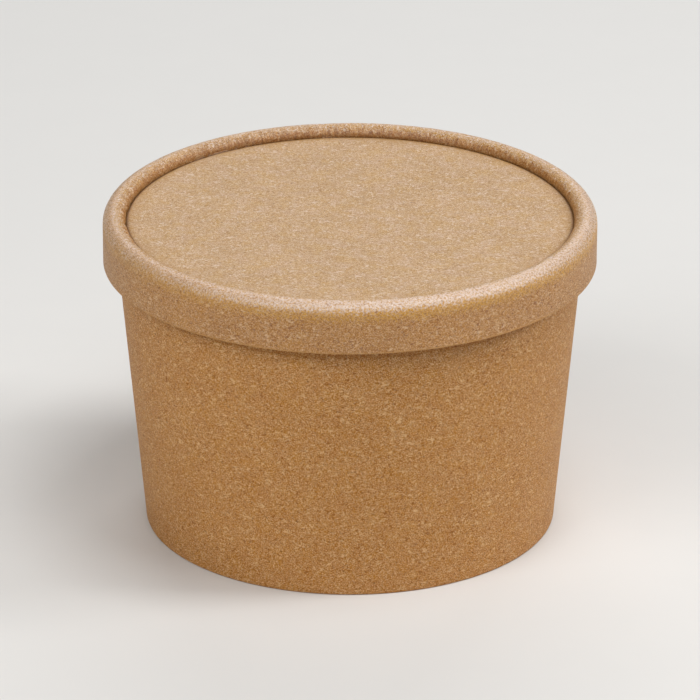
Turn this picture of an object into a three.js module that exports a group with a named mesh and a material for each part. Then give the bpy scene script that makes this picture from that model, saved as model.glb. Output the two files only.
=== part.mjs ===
// A round takeaway soup container of brown kraft board, shut with its own board lid.
// Millimetres, +Z up. The origin is on the table, under the middle of the cup.
//
// The pack is shut, so the cup is one solid from its base to its rolled rim.
// Every piece is round: its outline is drawn as (radius, height) and turned about the axis.

import * as THREE from 'three';

// Air left between pieces that touch in the real container.
const airGap = 0.3;

// How finely round shapes are cut into flat faces.
const sidesRound = 96;
const arcDivisions = 3;

// The cup: a straight tapered wall on a crimped foot, with a curled rim inside the lid.
const cup = {
  footRadius: 49.4,
  wallTaper: 0.092, // radius gained for each millimetre of height
  footThickness: 1.5,
  footOuterRound: 0.5,
  footInnerRound: 0.25,
  baseHeight: 6.0, // the base is set up inside the foot
  baseThickness: 0.6,
  rimCurlRadius: 1.3,
  rimRadius: 57.5,
  height: 75.0,
};

// The lid: a flat panel held in a ring, whose bead rolls over the rim into a plain skirt.
const lid = {
  radius: 59.0,
  height: 78.3,
  skirtBottom: 66.0,
  skirtThickness: 0.6,
  skirtInnerRound: 0.8,
  shoulderRound: 2.9,
  flankWidth: 2.7,
  panelDepth: 2.4, // how far the panel lies below the bead's crest
  panelThickness: 0.6,
};

const cupBoard = new THREE.MeshStandardMaterial({
  name: 'cup board',
  color: 0xa87f56,
  roughness: 0.85,
  metalness: 0,
});

const lidBoard = new THREE.MeshStandardMaterial({
  name: 'lid board',
  color: 0xc09c74,
  roughness: 0.8,
  metalness: 0,
});

const right = 0;
const up = Math.PI / 2;
const left = Math.PI;
const down = -Math.PI / 2;

function wallRadius(height) {
  return cup.footRadius + cup.wallTaper * height;
}

function footInnerRadius(height) {
  return wallRadius(height) - cup.footThickness;
}

// Turns an outline about the axis. LatheGeometry turns about Y, so the solid is stood up on Z.
function turnedPiece(name, outline, material) {
  const geometry = new THREE.LatheGeometry(outline.getPoints(arcDivisions), sidesRound);
  geometry.rotateX(Math.PI / 2);
  const piece = new THREE.Mesh(geometry, material);
  piece.name = name;
  return piece;
}

// The cup stands on the flat underside of its foot, a narrow ring round the recess.
function makeCup() {
  const recessTop = cup.baseHeight + cup.baseThickness + airGap;
  const footFaceInner = footInnerRadius(0) + cup.footInnerRound;
  const footFaceOuter = wallRadius(cup.footOuterRound) - cup.footOuterRound;
  const curlCentre = cup.rimRadius - cup.rimCurlRadius;
  const curlHeight = cup.height - cup.rimCurlRadius;
  const curlBottom = curlHeight - cup.rimCurlRadius;

  const outline = new THREE.Path();
  outline.moveTo(0, recessTop);
  outline.lineTo(footInnerRadius(recessTop), recessTop);
  outline.absarc(footFaceInner, cup.footInnerRound, cup.footInnerRound, left, left - down, false);
  outline.absarc(footFaceOuter, cup.footOuterRound, cup.footOuterRound, down, right, false);
  outline.lineTo(wallRadius(curlBottom), curlBottom);
  outline.absarc(curlCentre, curlHeight, cup.rimCurlRadius, down, up, false);
  outline.lineTo(0, cup.height);
  return turnedPiece('cup', outline, cupBoard);
}

// The base is its own round of board, seen from below inside the foot.
function makeCupBase() {
  const baseTop = cup.baseHeight + cup.baseThickness;
  const radius = footInnerRadius(cup.baseHeight) - airGap;

  const outline = new THREE.Path();
  outline.moveTo(0, cup.baseHeight);
  outline.lineTo(radius, cup.baseHeight);
  outline.lineTo(radius, baseTop);
  outline.lineTo(0, baseTop);
  return turnedPiece('cup_base', outline, cupBoard);
}

// The ring: skirt, rounded shoulder, crest, and the flank that drops to the panel.
function makeLidRing() {
  const crestRadius = lid.radius - lid.shoulderRound;
  const shoulderHeight = lid.height - lid.shoulderRound;
  const flankRadius = crestRadius - lid.flankWidth;
  const panelTop = lid.height - lid.panelDepth;
  const underside = cup.height + airGap;
  const skirtInner = lid.radius - lid.skirtThickness;
  const innerRound = lid.skirtInnerRound;

  const outline = new THREE.Path();
  outline.moveTo(skirtInner, lid.skirtBottom);
  outline.lineTo(lid.radius, lid.skirtBottom);
  outline.absarc(crestRadius, shoulderHeight, lid.shoulderRound, right, up, false);
  outline.absellipse(crestRadius, panelTop, lid.flankWidth, lid.panelDepth, up, left, false);
  outline.lineTo(flankRadius, underside);
  outline.absarc(skirtInner - innerRound, underside - innerRound, innerRound, up, right, true);
  outline.closePath();
  return turnedPiece('lid_ring', outline, lidBoard);
}

// The panel: the flat round of board that the ring holds.
function makeLidPanel() {
  const panelTop = lid.height - lid.panelDepth;
  const radius = lid.radius - lid.shoulderRound - lid.flankWidth - airGap;

  const outline = new THREE.Path();
  outline.moveTo(0, panelTop - lid.panelThickness);
  outline.lineTo(radius, panelTop - lid.panelThickness);
  outline.lineTo(radius, panelTop);
  outline.lineTo(0, panelTop);
  return turnedPiece('lid_panel', outline, lidBoard);
}

const soupContainer = new THREE.Group();
soupContainer.name = 'soup_container';
soupContainer.add(makeCup(), makeCupBase(), makeLidRing(), makeLidPanel());

export default soupContainer;
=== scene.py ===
import math
import bmesh
import bpy
import numpy as np
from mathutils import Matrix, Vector


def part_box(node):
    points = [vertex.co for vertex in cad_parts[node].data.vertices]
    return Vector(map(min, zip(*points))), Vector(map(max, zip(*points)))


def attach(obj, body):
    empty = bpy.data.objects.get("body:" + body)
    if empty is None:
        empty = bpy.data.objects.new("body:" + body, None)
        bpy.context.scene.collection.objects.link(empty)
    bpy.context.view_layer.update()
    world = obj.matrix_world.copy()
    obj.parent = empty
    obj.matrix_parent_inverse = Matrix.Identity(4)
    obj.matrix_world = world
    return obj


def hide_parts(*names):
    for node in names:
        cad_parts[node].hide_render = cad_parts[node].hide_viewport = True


# Takeaway soup container of brown kraft board, shut with its own board lid.
# Metres, +Z up. The container stands on the floor at the origin.

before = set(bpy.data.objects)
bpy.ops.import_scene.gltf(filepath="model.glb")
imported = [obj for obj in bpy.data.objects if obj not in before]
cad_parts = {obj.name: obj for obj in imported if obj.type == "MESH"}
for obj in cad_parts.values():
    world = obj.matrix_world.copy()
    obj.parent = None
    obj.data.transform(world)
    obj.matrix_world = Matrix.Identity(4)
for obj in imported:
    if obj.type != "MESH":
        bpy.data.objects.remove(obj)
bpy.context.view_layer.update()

mm = 0.001
turn = 2 * math.pi
nearlyNothing = 1e-7              # metres: points closer than this are one point
rng = np.random.default_rng(11)   # the board's small unevenness, the same in every run

# The main sizes come from the frame.
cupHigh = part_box("cup")[1]
baseLow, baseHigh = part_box("cup_base")
ringLow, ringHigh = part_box("lid_ring")
panelLow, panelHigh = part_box("lid_panel")
print("frame loaded")


# Outlines are drawn as (radius, height) points. Each stretch is cut into a number of steps.
def straight(start, end, steps):
    share = np.linspace(0, 1, steps + 1)[:, None]
    return np.array(start) * (1 - share) + np.array(end) * share


def arc(centre, wide, high, startAngle, endAngle, steps):
    angles = np.radians(np.linspace(startAngle, endAngle, steps + 1))
    radius = centre[0] + wide * np.cos(angles)
    height = centre[1] + high * np.sin(angles)
    return np.stack([radius, height], axis=1)


def joined(*stretches):
    points = [stretches[0][0]]
    for stretch in stretches:
        for point in stretch:
            if np.hypot(*(point - points[-1])) > nearlyNothing:
                points.append(point)
    return np.array(points)


def lengthAlong(outline):
    steps = np.hypot(*np.diff(outline, axis=0).T)
    return np.concatenate([[0], np.cumsum(steps)])


def lengthTo(outline, point):
    nearest = np.argmin(np.hypot(outline[:, 0] - point[0], outline[:, 1] - point[1]))
    return lengthAlong(outline)[nearest]


def outwardNormals(outline, closed):
    if closed:
        ahead = np.roll(outline, -1, axis=0)
        behind = np.roll(outline, 1, axis=0)
    else:
        ahead = np.vstack([outline[1:], outline[-1:]])
        behind = np.vstack([outline[:1], outline[:-1]])
    along = ahead - behind
    across = np.stack([along[:, 1], -along[:, 0]], axis=1)
    return across / np.maximum(np.hypot(*across.T), nearlyNothing)[:, None]


def smoothStep(low, high, value):
    share = np.clip((value - low) / (high - low), 0, 1)
    return share * share * (3 - 2 * share)


def atLeast(least, share):
    return least + (1 - least) * share


# Round unevenness: many small waves round the container, so that it meets itself.
def wavesRound(angles, lowest, highest, fade=0.0):
    orders = np.arange(lowest, highest + 1)
    sizes = rng.normal(size=len(orders)) / orders.astype(float) ** fade
    phases = rng.uniform(0, turn, len(orders))
    waves = np.zeros_like(angles)
    for order, size, phase in zip(orders, sizes, phases):
        waves += size * np.cos(order * angles + phase)
    return waves / waves.std()


# Keeps waves under the nominal surface: what rises above a limit is cut off there.
def hollows(waves, limit):
    return np.minimum(waves, limit) - limit


# The overlap where the two ends of a strip of board are glued. The upper end is cut off sharply,
# and the board beside it lies lower by its thickness, then rises again over a few degrees.
def seamDip(angles, seam, width):
    before = np.mod(math.radians(seam) - angles, turn)
    return -(1 - smoothStep(0, math.radians(width), before))


# Turned pieces.
turning = {
    "seamCut": 0.03,     # degrees that the cut edge at a seam takes up, so it is steep
    "sharpFrom": 38,     # degrees between two faces from which their edge is drawn sharp
}


# Corner points and board places of the faces between each two neighbouring rows of the outline.
def facesRound(outline, along, u, slices, closed):
    here = np.arange(slices)
    after = (here + 1) % slices
    rows = len(outline)
    startsOnAxis = outline[0, 0] < nearlyNothing
    endsOnAxis = outline[-1, 0] < nearlyNothing
    rowPairs = [(row, row + 1) for row in range(rows - 1)]
    if closed:
        rowPairs.append((rows - 1, 0))
    wholeLength = along[-1] + np.hypot(*(outline[0] - outline[-1]))

    faces = []
    places = []
    for low, high in rowPairs:
        a = low * slices + here
        b = low * slices + after
        c = high * slices + after
        d = high * slices + here
        v0 = along[low] / mm
        v1 = (along[high] if high else wholeLength) / mm
        if startsOnAxis and low == 0:
            faces += [(0, c[k], d[k]) for k in here]
            places += [((u[k], v0), (u[k + 1], v1), (u[k], v1)) for k in here]
        elif endsOnAxis and high == rows - 1:
            faces += [(a[k], b[k], high * slices) for k in here]
            places += [((u[k], v0), (u[k + 1], v0), (u[k], v1)) for k in here]
        else:
            faces += [(a[k], b[k], c[k], d[k]) for k in here]
            places += [((u[k], v0), (u[k + 1], v0), (u[k + 1], v1), (u[k], v1)) for k in here]
    return [tuple(int(corner) for corner in face) for face in faces], places


# Turns an outline into a mesh. relief(places, angles) gives the offset along the normal, and the
# map named board holds each point's place on the flat board, in millimetres, for the fibres.
def turnedPiece(name, outline, slices, closed=False, relief=None, flatMap=False, seam=0.0):
    angles = math.radians(seam) + np.arange(slices) * turn / slices
    angles[1] = angles[0] + math.radians(turning["seamCut"])
    along = lengthAlong(outline)
    normals = outwardNormals(outline, closed)
    offset = relief(along, angles) if relief else np.zeros((len(outline), slices))
    radius = outline[:, :1] + normals[:, :1] * offset
    height = outline[:, 1:] + normals[:, 1:] * offset
    corners = np.stack([radius * np.cos(angles), radius * np.sin(angles), height], axis=2)
    corners = corners.reshape(-1, 3)
    widest = outline[:, 0].max()
    u = np.append(angles - angles[0], turn) * widest / mm
    faces, places = facesRound(outline, along, u, slices, closed)

    mesh = bpy.data.meshes.new(name)
    mesh.from_pydata(corners.tolist(), [], faces)
    board = mesh.uv_layers.new(name="board")
    if flatMap:
        spots = [(corners[corner][0] / mm, corners[corner][1] / mm) for face in faces for corner in face]
    else:
        spots = [spot for place in places for spot in place]
    board.uv.foreach_set("vector", np.array(spots, np.float32).ravel())
    mesh.validate()
    dropLooseVerts(mesh)
    mesh.shade_smooth()
    mesh.set_sharp_from_angle(angle=math.radians(turning["sharpFrom"]))
    piece = bpy.data.objects.new(name, mesh)
    bpy.context.collection.objects.link(piece)
    return piece


# Where an outline meets the axis all the slices share one point, so the unused ones go.
def dropLooseVerts(mesh):
    work = bmesh.new()
    work.from_mesh(mesh)
    loose = [vert for vert in work.verts if not vert.link_faces]
    bmesh.ops.delete(work, geom=loose, context="VERTS")
    work.to_mesh(mesh)
    work.free()


# Board material. Each function below adds one layer of the kraft board's look, worked out on the
# flat board in millimetres.
def addNode(tree, kind, inputs=None, **settings):
    node = tree.nodes.new(kind)
    for key, value in settings.items():
        setattr(node, key, value)
    for key, value in (inputs or {}).items():
        if isinstance(value, bpy.types.NodeSocket):
            tree.links.new(value, node.inputs[key])
        else:
            node.inputs[key].default_value = value
    return node


def calc(tree, operation, *values):
    return addNode(tree, "ShaderNodeMath", dict(enumerate(values)), operation=operation).outputs[0]


# Fades from toLow to toHigh while the value goes from low to high.
def stepped(tree, value, low, high, toLow=0.0, toHigh=1.0):
    inputs = {"Value": value, "From Min": low, "From Max": high, "To Min": toLow, "To Max": toHigh}
    return addNode(tree, "ShaderNodeMapRange", inputs, interpolation_type="SMOOTHSTEP").outputs[0]


def moved(tree, place, shift=(0, 0, 0), rotation=0.0, scale=(1, 1, 1)):
    turned = (0, 0, math.radians(rotation))
    inputs = {"Vector": place, "Location": shift, "Rotation": turned, "Scale": scale}
    return addNode(tree, "ShaderNodeMapping", inputs).outputs[0]


# Noise lies round 0.5, and mostly between 0.25 and 0.75.
def noiseAt(tree, place, scale, detail=2.0, roughness=0.5, distortion=0.0):
    inputs = {"Vector": place, "Scale": scale, "Detail": detail}
    inputs.update({"Roughness": roughness, "Distortion": distortion})
    return addNode(tree, "ShaderNodeTexNoise", inputs, noise_dimensions="2D").outputs["Fac"]


def tinted(tree, share, base, layer, blend="MIX"):
    inputs = {"Factor": share, 6: base, 7: layer}   # sockets 6 and 7 are the two colours
    return addNode(tree, "ShaderNodeMix", inputs, data_type="RGBA", blend_type=blend).outputs[2]


def strongest(tree, layers):
    total = layers[0]
    for layer in layers[1:]:
        total = calc(tree, "MAXIMUM", total, layer)
    return total


# Where each pattern is read on the flat board, so that no two of them line up.
patternPlaces = {
    "clouds": {"shift": (7.3, 1.9, 0), "rotation": 33, "scale": (0.8, 1, 1)},
    "richness": {"shift": (41, 13, 0)},
    "crumbs": {"shift": (31.7, 11.9, 0), "rotation": 61},
    "wander": {"shift": (3, 9, 0), "rotation": 24},
    "paintedLightPlace": {"shift": (5, 21, 0), "rotation": 41},
}

# What lies in the board, layer by layer. Lengths and shifts are millimetres, filled is the share
# of cells that hold one.
boardLayers = {
    "paleHairs": [
        {"perMm": 0.62, "halfLong": 0.85, "halfThin": 0.09, "filled": 0.5, "shift": 3.1},
        {"perMm": 0.9, "halfLong": 0.6, "halfThin": 0.085, "filled": 0.5, "shift": 17.7},
        {"perMm": 1.3, "halfLong": 0.42, "halfThin": 0.08, "filled": 0.5, "shift": 31.9},
    ],
    "paleThreads": [
        {"perMm": 0.7, "halfThin": 0.07, "stretch": 0.7, "shift": 23.0},
        {"perMm": 1.0, "halfThin": 0.06, "stretch": 0.75, "shift": 61.0},
    ],
    "darkHairs": [
        {"perMm": 0.95, "halfLong": 0.4, "halfThin": 0.10, "filled": 0.45, "shift": 41.3},
        {"perMm": 1.9, "halfLong": 0.2, "halfThin": 0.11, "filled": 0.6, "shift": 57.1},
    ],
    "darkThreads": [
        {"perMm": 0.85, "halfThin": 0.06, "stretch": 0.75, "shift": 47.0},
    ],
    "flecks": {"perMm": 1.3, "size": 0.15, "filled": 0.32, "shift": 5.0, "soft": 0.06},
    "specks": {"perMm": 0.24, "size": 0.2, "filled": 0.3, "shift": 23.0, "soft": 0.06},
}

hairForm = {
    "sideShift": -0.6,             # times the layer's shift, across the board
    "lean": 0.4 * math.pi,         # how far a hair turns, least where it lies along the board
    "leanMore": 1.2 * math.pi,
    "bend": 1.5,
    "fullWidth": 0.3,              # share of its half width that is fully covered
    "fullLength": 0.6,             # and of its half length
    "weakest": 0.3,
    "reshuffle": 7.3,              # draws the strength afresh from the bend's random number
}

threadForm = {
    "sideShift": 0.7,              # times the layer's shift, across the board
    "curl": 0.6,
    "gapShift": 2.7,               # times the layer's shift, for the noise that breaks threads up
    "gapRotation": 37,
    "gapsPerThread": 1.6,
    "gapFrom": 0.46,
    "gapTo": 0.6,
}

fibreForm = {
    "directions": (12, 71, 131),   # degrees
    "sideShift": 0.37,
    "waviness": 0.35,
}


# Short hairs: one bent stroke in each cell, more often lying along the board than across it, of
# uneven strength, with some cells left empty.
def shortHairs(tree, place, hair):
    form = hairForm
    spot = moved(tree, place, (hair["shift"], form["sideShift"] * hair["shift"], 0))
    inputs = {"Vector": spot, "Scale": hair["perMm"], "Randomness": 1.0}
    cell = addNode(tree, "ShaderNodeTexVoronoi", inputs, voronoi_dimensions="2D")
    parts = addNode(tree, "ShaderNodeSeparateColor", {"Color": cell.outputs["Color"]})
    leaning, bending, filling = parts.outputs   # three random numbers for each cell

    inputs = {0: spot, 1: cell.outputs["Position"]}
    away = addNode(tree, "ShaderNodeVectorMath", inputs, operation="SUBTRACT").outputs[0]
    side = calc(tree, "SUBTRACT", leaning, 0.5)
    lean = calc(tree, "MULTIPLY_ADD", calc(tree, "ABSOLUTE", side), form["leanMore"], form["lean"])
    inputs = {"Vector": away, "Angle": calc(tree, "MULTIPLY", side, lean)}
    lying = addNode(tree, "ShaderNodeVectorRotate", inputs, rotation_type="Z_AXIS").outputs[0]
    sides = addNode(tree, "ShaderNodeSeparateXYZ", {0: lying})
    lengthwise, crosswise = sides.outputs[0], sides.outputs[1]

    bend = calc(tree, "MULTIPLY", calc(tree, "SUBTRACT", bending, 0.5), form["bend"])
    sag = calc(tree, "MULTIPLY", bend, calc(tree, "MULTIPLY", lengthwise, lengthwise))
    off = calc(tree, "ABSOLUTE", calc(tree, "SUBTRACT", crosswise, sag))
    line = stepped(tree, off, hair["halfThin"], hair["halfThin"] * form["fullWidth"])
    reach = calc(tree, "ABSOLUTE", lengthwise)
    ends = stepped(tree, reach, hair["halfLong"], hair["halfLong"] * form["fullLength"])
    chosen = calc(tree, "LESS_THAN", filling, hair["filled"])
    afresh = calc(tree, "FRACT", calc(tree, "MULTIPLY", bending, form["reshuffle"]))
    strength = calc(tree, "MULTIPLY_ADD", afresh, 1 - form["weakest"], form["weakest"])
    stroke = calc(tree, "MULTIPLY", line, ends)
    return calc(tree, "MULTIPLY", stroke, calc(tree, "MULTIPLY", chosen, strength))


# Curly threads: thin lines where a bent noise crosses its middle value, broken into short lengths.
def curlyThreads(tree, place, thread):
    form = threadForm
    shift, perMm = thread["shift"], thread["perMm"]
    aside = (shift, form["sideShift"] * shift, 0)
    spot = moved(tree, place, aside, rotation=shift, scale=(thread["stretch"], 1, 1))
    bent = noiseAt(tree, spot, perMm, detail=1.0, roughness=0.5, distortion=form["curl"])
    off = calc(tree, "ABSOLUTE", calc(tree, "SUBTRACT", bent, 0.5))
    line = stepped(tree, off, thread["halfThin"] * perMm, 0.0)
    other = moved(tree, spot, (form["gapShift"] * shift, shift, 0), rotation=form["gapRotation"])
    gaps = noiseAt(tree, other, form["gapsPerThread"] * perMm, detail=0.0)
    lengths = stepped(tree, gaps, form["gapFrom"], form["gapTo"])
    return calc(tree, "MULTIPLY", line, lengths)


# Pressed fibres: short straight streaks that lie in several directions.
def pressedFibres(tree, place, long, thin):
    total = None
    for direction in fibreForm["directions"]:
        aside = (direction, direction * fibreForm["sideShift"], 0)
        lying = moved(tree, place, aside, rotation=direction, scale=(1 / long, 1 / thin, 1))
        streak = noiseAt(tree, lying, 1.0, detail=1.0, roughness=0.6, distortion=fibreForm["waviness"])
        total = streak if total is None else calc(tree, "ADD", total, streak)
    return calc(tree, "DIVIDE", total, float(len(fibreForm["directions"])))


# Bark flecks: small dark bits, each in its own cell, with most cells left empty.
def barkFlecks(tree, place, fleck):
    spot = moved(tree, place, (fleck["shift"], fleck["shift"], 0))
    inputs = {"Vector": spot, "Scale": fleck["perMm"], "Randomness": 1.0}
    cell = addNode(tree, "ShaderNodeTexVoronoi", inputs, voronoi_dimensions="2D")
    parts = addNode(tree, "ShaderNodeSeparateColor", {"Color": cell.outputs["Color"]})
    chosen = calc(tree, "LESS_THAN", parts.outputs[0], fleck["filled"])
    reach = calc(tree, "MULTIPLY", parts.outputs[1], fleck["size"] * fleck["perMm"])
    beyond = calc(tree, "SUBTRACT", cell.outputs["Distance"], reach)
    bit = stepped(tree, beyond, fleck["soft"], -fleck["soft"])
    return calc(tree, "MULTIPLY", bit, chosen)


# The board all over: its colour, its gloss and the height of what stands up from it.
def boardAllOver(tree, place, look):
    clouded = moved(tree, place, **patternPlaces["clouds"])
    clouds = noiseAt(tree, clouded, look["cloudsPerMm"], detail=3.0, roughness=0.55)
    patches = noiseAt(tree, clouded, look["patchesPerMm"], detail=3.0, roughness=0.55)
    grain = noiseAt(tree, clouded, look["grainPerMm"], detail=3.0, roughness=0.7)
    crumbled = moved(tree, place, **patternPlaces["crumbs"])
    crumbs = noiseAt(tree, crumbled, look["crumbsPerMm"], detail=1.0)
    fibres = pressedFibres(tree, place, look["fibreLong"], look["fibreThin"])

    richer = noiseAt(tree, moved(tree, clouded, **patternPlaces["richness"]), look["richnessPerMm"])
    richness = stepped(tree, richer, 0.35, 0.65, toLow=look["poorest"])
    paleStrokes = [shortHairs(tree, place, hair) for hair in boardLayers["paleHairs"]]
    paleStrokes += [curlyThreads(tree, place, thread) for thread in boardLayers["paleThreads"]]
    paleHairs = calc(tree, "MULTIPLY", strongest(tree, paleStrokes), richness)
    darkStrokes = [shortHairs(tree, place, hair) for hair in boardLayers["darkHairs"]]
    darkStrokes += [curlyThreads(tree, place, thread) for thread in boardLayers["darkThreads"]]
    darkHairs = strongest(tree, darkStrokes)
    flecks = barkFlecks(tree, place, boardLayers["flecks"])
    specks = barkFlecks(tree, place, boardLayers["specks"])

    colour = tinted(tree, stepped(tree, clouds, 0.3, 0.7), look["deep"], look["light"])
    # Each layer: where it shows, the values between which it fades in, how much, and its colour.
    for value, none, full, share, layer in [
        (patches, 0.5, 0.68, look["patches"], "rosy"),
        (patches, 0.5, 0.32, look["patches"], "golden"),
        (fibres, 0.5, 0.62, look["fibres"], "pale"),
        (fibres, 0.5, 0.38, look["fibres"], "brown"),
        (grain, 0.5, 0.74, look["grain"] * look["paleGrain"], "pale"),
        (grain, 0.5, 0.26, look["grain"], "brown"),
        (crumbs, 0.52, 0.75, look["crumbs"], "pale"),
        (crumbs, 0.48, 0.25, look["crumbs"], "brown"),
        (darkHairs, 0, 1, look["darkHairs"], "brown"),
        (paleHairs, 0, 1, look["paleHairs"], "pale"),
        (flecks, 0, 1, look["flecks"], "bark"),
        (specks, 0, 1, look["specks"], "bark"),
    ]:
        colour = tinted(tree, stepped(tree, value, none, full, 0.0, share), colour, look[layer])

    roughest = look["roughness"] + look["glossSpread"]
    smoothest = look["roughness"] - look["glossSpread"]
    gloss = stepped(tree, grain, 0.25, 0.75, roughest, smoothest)
    fibreHeight = calc(tree, "MULTIPLY", fibres, look["fibreHeight"])
    hairHeight = calc(tree, "MULTIPLY", paleHairs, look["hairHeight"])
    height = calc(tree, "ADD", calc(tree, "ADD", fibreHeight, hairHeight), grain)
    return colour, gloss, height


# Bands follow the board's edges and folds. Each has a place and reach in millimetres, measured
# across the strip, or out from the middle of a flat round, a colour, how much it covers, and how
# much smoother the board is there. Bands carry most of the painted light and shade: a tone
# multiplies the board's colour, and painted light and lines cover it.
bandEdges = {
    "fullColour": 0.3,   # share of its reach over which a band's colour is at its full strength
    "fullGloss": 0.5,
}


# Bands are given in millimetres beyond a fold. This works out where they lie on the board.
def bandsBeyond(folds, bands):
    return [(folds[fold] / mm + beyond, *rest) for fold, beyond, *rest in bands]


def acrossBoard(tree, place, flat, uneven, perMm):
    if flat:
        across = addNode(tree, "ShaderNodeVectorMath", {0: place}, operation="LENGTH").outputs["Value"]
    else:
        across = addNode(tree, "ShaderNodeSeparateXYZ", {0: place}).outputs[1]
    wandering = moved(tree, place, **patternPlaces["wander"])
    noise = noiseAt(tree, wandering, perMm, detail=4.0, roughness=0.7)
    return calc(tree, "ADD", across, stepped(tree, noise, 0.25, 0.75, -uneven, uneven))


def banded(tree, across, colour, gloss, bands, blend, broken=None):
    for at, reach, layer, share, smoother in bands:
        away = calc(tree, "ABSOLUTE", calc(tree, "SUBTRACT", across, at))
        covers = stepped(tree, away, reach, reach * bandEdges["fullColour"], 0.0, share)
        if broken:
            covers = calc(tree, "MULTIPLY", covers, broken)
        colour = tinted(tree, covers, colour, layer, blend)
        if smoother:
            less = stepped(tree, away, reach, reach * bandEdges["fullGloss"], 0.0, smoother)
            gloss = calc(tree, "SUBTRACT", gloss, less)
    return colour, gloss


# Painted shade in pleats: dark teeth that reach up from a fold to uneven heights, where the folds of the
# board lie in shade.
def paintedPleatShade(tree, place, across, pleatShade):
    wide = pleatShade["wide"]
    lying = moved(tree, place, scale=(1 / wide, pleatShade["squash"] / wide, 1))
    uneven = noiseAt(tree, lying, 1.0, detail=3.0, roughness=0.65)
    height = stepped(tree, uneven, 0.32, 0.68, pleatShade["low"], pleatShade["high"])
    above = calc(tree, "SUBTRACT", pleatShade["at"], across)
    return stepped(tree, calc(tree, "SUBTRACT", above, height), pleatShade["soft"], -pleatShade["soft"])


# How strongly something shows on its way round a turned piece: most on one side of it. The side
# says where its middle is, and the cosines away from it at which it has ended and is full.
def moreOnOneSide(tree, place, side):
    along = addNode(tree, "ShaderNodeSeparateXYZ", {"Vector": place}).outputs[0]
    start = math.radians(side["seam"] - side["middle"])
    angle = calc(tree, "MULTIPLY_ADD", along, 1 / side["radius"], start)
    return stepped(tree, calc(tree, "COSINE", angle), side["none"], side["full"], side["least"], 1.0)


def boardMaterial(name, look, tones=(), pleatShade=(), paintedLight=(), paintedLightMost=None, lines=(), flat=False):
    material = bpy.data.materials.new(name)
    material.use_nodes = True
    tree = material.node_tree
    tree.nodes.clear()
    place = addNode(tree, "ShaderNodeUVMap", uv_map="board").outputs[0]
    colour, gloss, height = boardAllOver(tree, place, look)

    # Tones multiply the colour: painted light and shade along the folds.
    if tones:
        across = acrossBoard(tree, place, flat, look["toneUneven"], look["unevenPerMm"])
        colour, gloss = banded(tree, across, colour, gloss, tones, "MULTIPLY")
    # Painted shade in the pleats' folds.
    for shadeBand in pleatShade:
        across = acrossBoard(tree, place, flat, look["pleatShadeUneven"], look["unevenPerMm"])
        shows = calc(tree, "MULTIPLY", paintedPleatShade(tree, place, across, shadeBand), shadeBand["share"])
        shows = calc(tree, "MULTIPLY", shows, moreOnOneSide(tree, place, shadeBand["most"]))
        colour = tinted(tree, shows, colour, shadeBand["tone"], "MULTIPLY")
    # Painted light: pale highlights over a fold, broken into patches and strongest on one side.
    if paintedLight:
        across = acrossBoard(tree, place, flat, look["paintedLightUneven"], look["paintedLightEdgePerMm"])
        paintedLightPlace = moved(tree, place, **patternPlaces["paintedLightPlace"])
        paintedLightNoise = noiseAt(tree, paintedLightPlace, look["paintedLightPatchesPerMm"])
        broken = stepped(tree, paintedLightNoise, 0.36, 0.64, toLow=look["paintedLightLeast"])
        if paintedLightMost:
            broken = calc(tree, "MULTIPLY", broken, moreOnOneSide(tree, place, paintedLightMost))
        colour, gloss = banded(tree, across, colour, gloss, paintedLight, "MIX", broken)
    # Lines cover the colour: painted shade in creases, and the colour of cut edges.
    if lines:
        across = acrossBoard(tree, place, flat, look["lineUneven"], look["unevenPerMm"])
        colour, gloss = banded(tree, across, colour, gloss, lines, "MIX")

    inputs = {"Height": height, "Strength": look["bump"], "Distance": look["bumpDepth"] * mm}
    bump = addNode(tree, "ShaderNodeBump", inputs)
    inputs = {"Base Color": colour, "Roughness": gloss, "Normal": bump.outputs[0]}
    shader = addNode(tree, "ShaderNodeBsdfPrincipled", inputs)
    shader.inputs["Specular IOR Level"].default_value = look["specular"]
    addNode(tree, "ShaderNodeOutputMaterial", {"Surface": shader.outputs[0]})
    return material


# The looks of the three boards. The lid's and the ring's give only what differs.
# The cup's and the ring's colours are more orange than the lid's partly as painted light: besides the
# board's own colour they stand in for warm light thrown up from the floor onto upright board.
cupLook = {
    "deep": (0.515, 0.204, 0.026, 1),
    "light": (0.560, 0.236, 0.042, 1),
    "rosy": (0.568, 0.252, 0.070, 1),
    "golden": (0.578, 0.236, 0.017, 1),
    "brown": (0.285, 0.080, 0.0, 1),
    "pale": (0.86, 0.60, 0.32, 1),
    "bark": (0.12, 0.040, 0.002, 1),
    "cloudsPerMm": 0.09,
    "patchesPerMm": 0.28,
    "richnessPerMm": 0.4,
    "grainPerMm": 2.0,
    "crumbsPerMm": 3.8,
    "fibreLong": 0.9,      # millimetres
    "fibreThin": 0.26,
    "patches": 0.48,       # from here on, how much each layer shows
    "fibres": 0.08,
    "grain": 0.17,
    "paleGrain": 0.8,      # times that, for the grain's pale side
    "crumbs": 0.8,
    "paleHairs": 0.66,
    "poorest": 0.6,        # times that, where the board has the fewest
    "darkHairs": 0.82,
    "flecks": 0.45,
    "specks": 0.8,
    "toneUneven": 0.5,     # millimetres that the edges of bands wander
    "pleatShadeUneven": 0.1,
    "lineUneven": 0.07,
    "unevenPerMm": 0.6,
    "paintedLightUneven": 1.6,
    "paintedLightEdgePerMm": 1.6,
    "paintedLightPatchesPerMm": 1.9,      # how fine the patches are that break up the painted highlight
    "paintedLightLeast": 0.2,      # how much of the painted highlight is left between them
    "bump": 0.9,
    "bumpDepth": 0.12,     # millimetres
    "fibreHeight": 0.5,    # next to the grain's height of 1
    "hairHeight": 0.3,
    "roughness": 0.62,
    "glossSpread": 0.1,
    "specular": 0.35,
}

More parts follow.
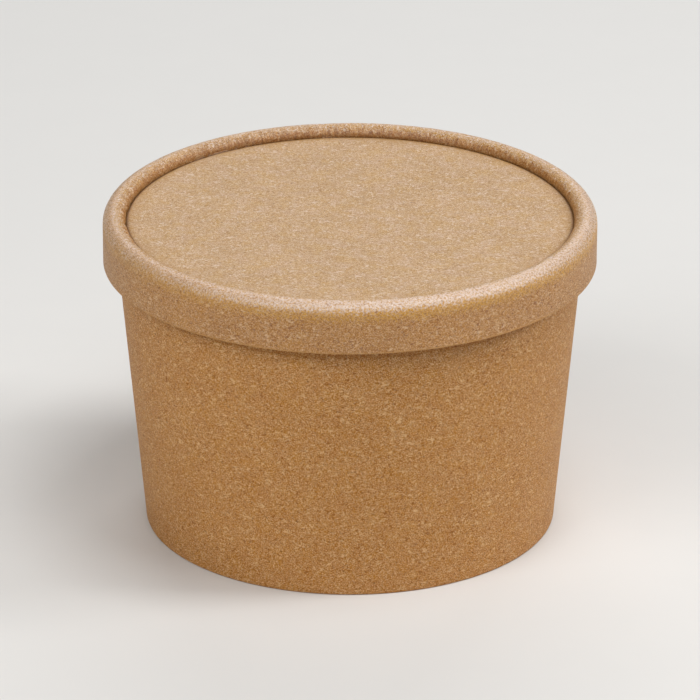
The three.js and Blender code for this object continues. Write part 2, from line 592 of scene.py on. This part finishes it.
lidLook = dict(cupLook)
lidLook.update({
    "deep": (0.463, 0.260, 0.093, 1),
    "light": (0.520, 0.299, 0.116, 1),
    "rosy": (0.546, 0.341, 0.205, 1),
    "golden": (0.505, 0.272, 0.050, 1),
    "brown": (0.27, 0.115, 0.0, 1),
    "pale": (0.79, 0.66, 0.54, 1),
    "patches": 0.55,
    "grain": 0.24,
    "crumbs": 0.55,
    "paleHairs": 0.62,
    "darkHairs": 0.7,
    "roughness": 0.56,
    "specular": 0.5,
})

ringLook = dict(lidLook)
ringLook.update({
    "deep": (0.447, 0.181, 0.015, 1),
    "light": (0.508, 0.210, 0.019, 1),
    "rosy": (0.527, 0.232, 0.040, 1),
    "golden": (0.53, 0.222, 0.009, 1),
    "brown": (0.27, 0.080, 0.0, 1),
    "pale": (0.80, 0.57, 0.35, 1),
    "grain": 0.28,
    "crumbs": 0.62,
    "darkHairs": 0.95,
    "bump": 0.8,
    "roughness": 0.52,
    "glossSpread": 0.14,
    "specular": 0.85,
})


# The cup: wall, crimped foot and the curled rim that the lid hides.
cup = {
    "footRadius": 49.4 * mm,
    "wallTaper": 0.092,
    "footThickness": 1.5 * mm,
    "foldRadius": 0.5 * mm,       # where the board turns under at the foot
    "hemHeight": 4.9 * mm,        # the folded-in hem inside the foot
    "hemStep": 0.4 * mm,
    "hemFade": 1.0 * mm,          # the crimps run out over this at the hem's lower edge
    "hemTopFade": 0.5 * mm,
    "crimps": 150,
    "crimpDepth": 0.1 * mm,
    "recessGap": 0.2 * mm,        # air above the base, inside the foot
    "curlRadius": 1.3 * mm,
    "seamAngle": 62,              # degrees round from +X, behind
    "seamWide": 14,               # degrees over which the wall rises again beside the seam
    "seamLap": 0.28 * mm,
    "gentleWaves": 0.03 * mm,
    "wallFade": 1.5 * mm,         # the seam and the waves run out over this at the wall's ends
    "slices": 480,
    "paintedShadeHeight": 64.0 * mm,     # painted shade just under the lid's skirt, where the skirt shades the wall
    "tones": [("shade", 0, 1.1, (0.80, 0.70, 0.50, 1), 1.0, 0)],
}


def wallRadius(height):
    return cup["footRadius"] + cup["wallTaper"] * height


def makeCup():
    rimRadius, top = cupHigh.x, cupHigh.z
    recessTop = baseHigh.z + cup["recessGap"]
    fold, thickness, curl = cup["foldRadius"], cup["footThickness"], cup["curlRadius"]
    hemHeight = cup["hemHeight"]
    hemRadius = wallRadius(0) - thickness
    hemTop = wallRadius(hemHeight) - thickness
    recessRadius = hemTop + cup["hemStep"]
    curlFoot = top - 2 * curl
    wallFoot, wallTop = (wallRadius(fold), fold), (wallRadius(curlFoot), curlFoot)
    outline = joined(
        straight((0, recessTop), (recessRadius, recessTop), 24),
        straight((recessRadius, recessTop), (recessRadius, hemHeight), 3),
        straight((recessRadius, hemHeight), (hemTop, hemHeight), 2),
        straight((hemTop, hemHeight), (hemRadius, fold), 10),
        arc((hemRadius + fold, fold), fold, fold, 180, 270, 6),
        arc((wallRadius(fold) - fold, fold), fold, fold, 270, 360, 6),
        straight(wallFoot, wallTop, 90),
        arc((rimRadius - curl, top - curl), curl, curl, -90, 90, 12),
        straight((rimRadius - curl, top), (0, top), 6),
    )
    wallStart, wallEnd = lengthTo(outline, wallFoot), lengthTo(outline, wallTop)
    hemStart, hemEnd = lengthTo(outline, (hemTop, hemHeight)), lengthTo(outline, (hemRadius, fold))

    def relief(places, angles):
        place = places[:, None]
        fromFoot = smoothStep(wallStart, wallStart + cup["wallFade"], place)
        onWall = fromFoot * smoothStep(wallEnd, wallEnd - cup["wallFade"], place)
        onHem = smoothStep(hemEnd, hemEnd - cup["hemFade"], place)
        onHem = onHem * smoothStep(hemStart, hemStart + cup["hemTopFade"], place)
        lap = seamDip(angles, cup["seamAngle"], cup["seamWide"]) * cup["seamLap"]
        gentle = wavesRound(angles, lowest=2, highest=9, fade=0.5) * cup["gentleWaves"]
        crimps = -np.maximum(0, np.cos(angles * cup["crimps"])) * cup["crimpDepth"]
        return onWall * (lap + gentle) + onHem * crimps

    piece = turnedPiece("kraft_cup", outline, cup["slices"], relief=relief, seam=cup["seamAngle"])
    slope = math.atan(cup["wallTaper"])
    # The painted shade under the skirt lies along the wall, measured from the foot.
    folds = {"shade": wallStart + (cup["paintedShadeHeight"] - fold) / math.cos(slope)}
    board = boardMaterial("kraft_cup_board", cupLook, tones=bandsBeyond(folds, cup["tones"]))
    piece.data.materials.append(board)
    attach(piece, "root")
    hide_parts("cup")
    return piece


# The base: a round of board set up inside the foot, with its lower edge rounded behind the hem.
base = {
    "bend": 0.9 * mm,
    "slices": 240,
}


def makeBase():
    radius, low, high = baseHigh.x, baseLow.z, baseHigh.z
    bend = base["bend"]
    rise = min(bend, high - low)
    outline = joined(
        straight((0, low), (radius - bend, low), 30),
        arc((radius - bend, low + rise), bend, rise, -90, 0, 6),
        straight((radius, low + rise), (radius, high), 1),
        straight((radius, high), (0, high), 6),
    )
    piece = turnedPiece("kraft_cup_base", outline, base["slices"], flatMap=True)
    piece.data.materials.append(boardMaterial("kraft_base_board", cupLook, flat=True))
    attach(piece, "root")
    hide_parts("cup_base")
    return piece


# The lid's ring: a strip of board rolled over the rim, with its ends lapped at the back.
ring = {
    "shoulderRound": 2.9 * mm,
    "flankWide": 2.7 * mm,
    "skirtBoard": 0.55 * mm,
    "rimGap": 0.3 * mm,           # air over the cup's rim
    "tuckRound": 0.5 * mm,
    "tuckReach": 1.2 * mm,        # how far the board runs in under the bead beyond the flank
    "edgeRound": 0.12 * mm,
    "seamAngle": 97.3,            # degrees round from +X, behind
    "seamWide": 8,
    "seamLap": 0.22 * mm,
    "lapOnCrest": 0.35,           # share of the lap that is left where the crest is pressed flat
    "pleats": 0.36 * mm,
    "pleatsDeepest": 155,         # degrees round from +X, where they are deepest
    "pleatsSpread": (0.2, 0.9),   # cosines away from there at which they are least and full
    "pleatsLeast": 0.25,
    "pleatsCalmest": 0.45,        # share of their depth that is left in a calm patch
    "pleatsPatches": (-1, 1.5),   # heights of the patches' waves that are calmest and deepest
    "pleatsLean": 0.35,           # degrees
    "pleatsFrom": 0.2 * mm,       # beyond the crest
    "pleatsFull": 1.6 * mm,
    "bumps": 0.012 * mm,
    "waviness": 0.04 * mm,
    "footFade": 0.3 * mm,         # all relief runs out over these at the strip's two edges
    "flankFade": 0.6 * mm,
    "slices": 1440,
    # Each band: its fold, millimetres beyond it, reach, colour, share covered, how much smoother.
    # Painted light: the crest and the board either side of it are painted paler and whiter, as
    # upward-facing board catches more of the lamps; the lower flank is painted a little paler. The
    # second band paints nothing and only makes the crest smoother.
    "tones": [
        ("crest", -1.9, 2.4, (1.10, 1.26, 1.7, 1), 1.0, 0),
        ("crest", -2.3, 2.0, (1, 1, 1, 1), 0.0, 0.20),
        ("crest", 0.9, 2.1, (1.07, 1.33, 2.05, 1), 1.0, 0),
        ("flankFoot", -0.2, 1.5, (1.00, 1.04, 1.04, 1), 1.0, 0),
    ],
    # Painted light: a pale highlight over the crest and a brighter golden band on the lit shoulder, both
    # broken into patches.
    "paintedLight": [
        ("crest", -1.9, 2.9, (0.74, 0.59, 0.50, 1), 0.85, 0),
        ("shoulder", 0.2, 1.6, (0.66, 0.33, 0.02, 1), 0.85, 0),
    ],
    # The first line is painted shade in the crease between flank and panel; the second is a golden line
    # along the skirt's cut edge.
    "lines": [
        ("flankFoot", 0.4, 0.3, (0.11, 0.048, 0.016, 1), 0.6, 0),
        ("skirtFoot", 0.05, 0.32, (0.52, 0.240, 0.040, 1), 0.6, 0),
    ],
    # The painted highlight on the crest is strongest at the right of the front, where the lamps light
    # it most. The painted shade in the fold is darkest at the right of the back, and its tall painted
    # pleat shade shows most at the left. Middles are degrees round from +X.
    "paintedLightMost": {"middle": -45, "none": -0.3, "full": 0.8, "least": 0.55},
    "pleatShade": [
        {"wide": 0.95, "squash": 0.15, "low": 0.4, "high": 2.4, "soft": 0.9, "share": 0.68,
         "tone": (0.60, 0.48, 0.32, 1),
         "most": {"middle": 60, "none": -0.3, "full": 0.9, "least": 0.2}},
        {"wide": 0.55, "squash": 0.15, "low": 0.4, "high": 5.2, "soft": 1.2, "share": 0.9,
         "tone": (0.82, 0.74, 0.62, 1),
         "most": {"middle": 155, "none": -0.2, "full": 0.7, "least": 0.3}},
    ],
}


def makeRing():
    outer, top, bottom = ringHigh.x, ringHigh.z, ringLow.z
    panelTop = panelHigh.z
    shoulderRound, flankWide = ring["shoulderRound"], ring["flankWide"]
    edge, tuck = ring["edgeRound"], ring["tuckRound"]
    crest, shoulder = outer - shoulderRound, top - shoulderRound
    flank = crest - flankWide
    skirtInner = outer - ring["skirtBoard"]
    underside = cupHigh.z + ring["rimGap"]
    outline = joined(
        straight((skirtInner, bottom + edge), (skirtInner + edge, bottom), 2),
        straight((skirtInner + edge, bottom), (outer - edge, bottom), 2),
        arc((outer - edge, bottom + edge), edge, edge, -90, 0, 3),
        straight((outer, bottom + edge), (outer, shoulder), 20),
        arc((crest, shoulder), shoulderRound, shoulderRound, 0, 90, 18),
        arc((crest, panelTop), flankWide, top - panelTop, 90, 180, 26),
        arc((flank + tuck, panelTop), tuck, tuck, 180, 250, 5),
        straight((flank + ring["tuckReach"], underside), (skirtInner, underside), 4),
        straight((skirtInner, underside), (skirtInner, bottom + edge), 12)[:-1],
    )
    crestAt = lengthTo(outline, (crest, top))
    flankFoot = lengthTo(outline, (flank, panelTop))
    skirtFoot = lengthTo(outline, (outer, bottom + edge))
    shoulderAt = lengthTo(outline, (outer, shoulder))

    def relief(places, angles):
        place = places[:, None]
        outside = smoothStep(skirtFoot - ring["footFade"], skirtFoot, place)
        outside = outside * smoothStep(flankFoot + ring["flankFade"], flankFoot, place)
        onFlank = smoothStep(crestAt + ring["pleatsFrom"], crestAt + ring["pleatsFull"], place) * outside
        onBead = smoothStep(shoulderAt, crestAt, place) * outside
        onSkirt = (1 - smoothStep(skirtFoot, shoulderAt, place)) * outside
        # Pleats lean a little to either side on their way down the flank.
        lean = wavesRound(angles, lowest=4, highest=40, fade=0.3) * math.radians(ring["pleatsLean"])
        leaning = angles + lean * (place - crestAt) / (flankFoot - crestAt)
        patches = wavesRound(angles, lowest=3, highest=14)
        swell = atLeast(ring["pleatsCalmest"], smoothStep(*ring["pleatsPatches"], patches))
        facing = np.cos(angles - math.radians(ring["pleatsDeepest"]))
        swell = swell * atLeast(ring["pleatsLeast"], smoothStep(*ring["pleatsSpread"], facing))
        folded = np.abs(wavesRound(leaning, lowest=45, highest=130))
        pleats = hollows(folded, limit=1.5) * swell * ring["pleats"]
        bumps = hollows(wavesRound(angles, lowest=30, highest=130), limit=1.0) * ring["bumps"]
        wavy = wavesRound(angles, lowest=2, highest=11, fade=0.6)
        wavy = hollows(wavy, limit=1.2) * ring["waviness"]
        lap = seamDip(angles, ring["seamAngle"], ring["seamWide"]) * ring["seamLap"]
        lapShare = atLeast(ring["lapOnCrest"], np.maximum(onFlank, onSkirt))
        return onFlank * pleats + onBead * bumps + onSkirt * wavy + outside * lap * lapShare

    def onThisStrip(side):
        return dict(side, seam=ring["seamAngle"], radius=outer / mm)

    piece = turnedPiece("kraft_lid_ring", outline, ring["slices"], closed=True, relief=relief,
                        seam=ring["seamAngle"])
    folds = {"crest": crestAt, "flankFoot": flankFoot, "skirtFoot": skirtFoot, "shoulder": shoulderAt}
    pleatShade = [dict(row, at=flankFoot / mm, most=onThisStrip(row["most"])) for row in ring["pleatShade"]]
    board = boardMaterial(
        "kraft_ring_board",
        ringLook,
        tones=bandsBeyond(folds, ring["tones"]),
        pleatShade=pleatShade,
        paintedLight=bandsBeyond(folds, ring["paintedLight"]),
        paintedLightMost=onThisStrip(ring["paintedLightMost"]),
        lines=bandsBeyond(folds, ring["lines"]),
    )
    piece.data.materials.append(board)
    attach(piece, "root")
    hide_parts("lid_ring")
    return piece


# The lid's panel: a flat round of board that runs in under the bead.
panel = {
    "tuckUnder": 0.35 * mm,
    "edgeDip": 0.36 * mm,
    "edgeBend": 0.8 * mm,
    "slices": 360,
    # Painted shade: the board is painted darker towards the crease under the bead, where the bead shades
    # it.
    "lines": [
        ("edge", 0, 4.6, (0.34, 0.155, 0.012, 1), 0.2, 0),
        ("edge", 0, 1.9, (0.34, 0.155, 0.012, 1), 0.4, 0),
        ("edge", 0, 0.9, (0.13, 0.050, 0.008, 1), 0.75, 0),
    ],
}


def makePanel():
    radius, low, high = panelHigh.x + panel["tuckUnder"], panelLow.z, panelHigh.z
    dip, bend = panel["edgeDip"], panel["edgeBend"]
    outline = joined(
        straight((0, low), (radius, low), 12),
        straight((radius, low), (radius, high - dip), 1),
        arc((radius - bend, high - dip), bend, dip, 0, 90, 8),
        straight((radius - bend, high), (0, high), 44),
    )
    piece = turnedPiece("kraft_lid_panel", outline, panel["slices"], flatMap=True)
    lines = bandsBeyond({"edge": radius}, panel["lines"])
    piece.data.materials.append(boardMaterial("kraft_lid_board", lidLook, lines=lines, flat=True))
    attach(piece, "root")
    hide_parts("lid_panel")
    return piece


makeCup()
print("cup made")
makeBase()
print("base made")
makeRing()
print("lid ring made")
makePanel()
print("lid panel made")


# The studio: a plain pale floor, a pale room, and soft lights.
studio = {
    "floorSize": 6.0,
    "floorColour": (0.76, 0.75, 0.73, 1),
    "floorGrainColour": (0.6, 0.6, 0.6, 1),
    "floorGrain": 0.03,
    "floorGrainPerMetre": 60.0,
    "floorRoughness": (0.78, 0.86),
    "floorSpecular": 0.2,
    "roomColour": (0.93, 0.95, 1.0, 1),
    "roomStrength": 0.03,
    "lampColour": (1, 1, 1),
    "lampsAim": (0, 0, 0.05),
}

lamps = {
    "overheadFront": {"place": (0.35, -0.25, 1.45), "size": (0.6, 0.6), "power": 8.75},
    "frontHigh": {"place": (0, -1.0, 1.3), "size": (1.0, 0.6), "power": 5.3},
    "leftFrontHigh": {"place": (-0.8, -0.8, 1.0), "size": (0.7, 0.7), "power": 6.0},
    "rightMid": {"place": (1.2, -0.05, 0.95), "size": (0.45, 0.45), "power": 8.0},
    "leftLow": {"place": (-1.5, -0.1, 0.22), "size": (0.9, 0.35), "power": 1.3,
                "colour": (1.0, 0.84, 0.42)},
    "backHigh": {"place": (0.1, 1.3, 1.1), "size": (1.2, 0.6), "power": 8.75},
}


def makeFloor():
    bpy.ops.mesh.primitive_plane_add(size=studio["floorSize"], location=(0, 0, 0))
    floor = bpy.context.object
    floor.name = "studio_floor"
    material = bpy.data.materials.new("pale_floor")
    material.use_nodes = True
    tree = material.node_tree
    shader = tree.nodes["Principled BSDF"]
    shader.inputs["Specular IOR Level"].default_value = studio["floorSpecular"]
    spot = addNode(tree, "ShaderNodeTexCoord").outputs["Object"]
    inputs = {"Vector": spot, "Scale": studio["floorGrainPerMetre"], "Detail": 3.0}
    grain = addNode(tree, "ShaderNodeTexNoise", inputs).outputs["Fac"]
    share = stepped(tree, grain, 0.3, 0.7, toHigh=studio["floorGrain"])
    tone = tinted(tree, share, studio["floorColour"], studio["floorGrainColour"])
    roughness = stepped(tree, grain, 0.3, 0.7, *studio["floorRoughness"])
    tree.links.new(tone, shader.inputs["Base Color"])
    tree.links.new(roughness, shader.inputs["Roughness"])
    floor.data.materials.append(material)


def makeLamps():
    for name, lamp in lamps.items():
        data = bpy.data.lights.new(name, "AREA")
        data.shape = "RECTANGLE"
        data.size, data.size_y = lamp["size"]
        data.energy = lamp["power"]
        data.color = lamp.get("colour", studio["lampColour"])
        holder = bpy.data.objects.new(name, data)
        aim = Vector(studio["lampsAim"]) - Vector(lamp["place"])
        holder.location = lamp["place"]
        holder.rotation_euler = aim.to_track_quat("-Z", "Y").to_euler()
        holder.visible_camera = False
        bpy.context.collection.objects.link(holder)


def makeRoom():
    world = bpy.data.worlds.new("pale_room")
    bpy.context.scene.world = world
    world.use_nodes = True
    background = world.node_tree.nodes["Background"]
    background.inputs["Color"].default_value = studio["roomColour"]
    background.inputs["Strength"].default_value = studio["roomStrength"]


# The camera looks down at the photograph's angle, from the front.
view = {
    "elevation": 23.28,            # degrees
    "distance": 1.6,
    "lens": 342.0,                 # millimetres, as the sensor
    "sensor": 36.0,
    "target": (0, 0, 41.8 * mm),
}


def makeCamera():
    data = bpy.data.cameras.new("camera")
    data.lens = view["lens"]
    data.sensor_width = view["sensor"]
    camera = bpy.data.objects.new("camera", data)
    tilt = math.radians(view["elevation"])
    away = Vector((0, -math.cos(tilt), math.sin(tilt)))
    camera.location = Vector(view["target"]) + away * view["distance"]
    camera.rotation_euler = (-away).to_track_quat("-Z", "Y").to_euler()
    bpy.context.collection.objects.link(camera)
    bpy.context.scene.camera = camera


makeFloor()
makeLamps()
makeRoom()
makeCamera()
bpy.context.scene.view_settings.view_transform = "Standard"
bpy.context.scene.view_settings.look = "None"
print("studio made")
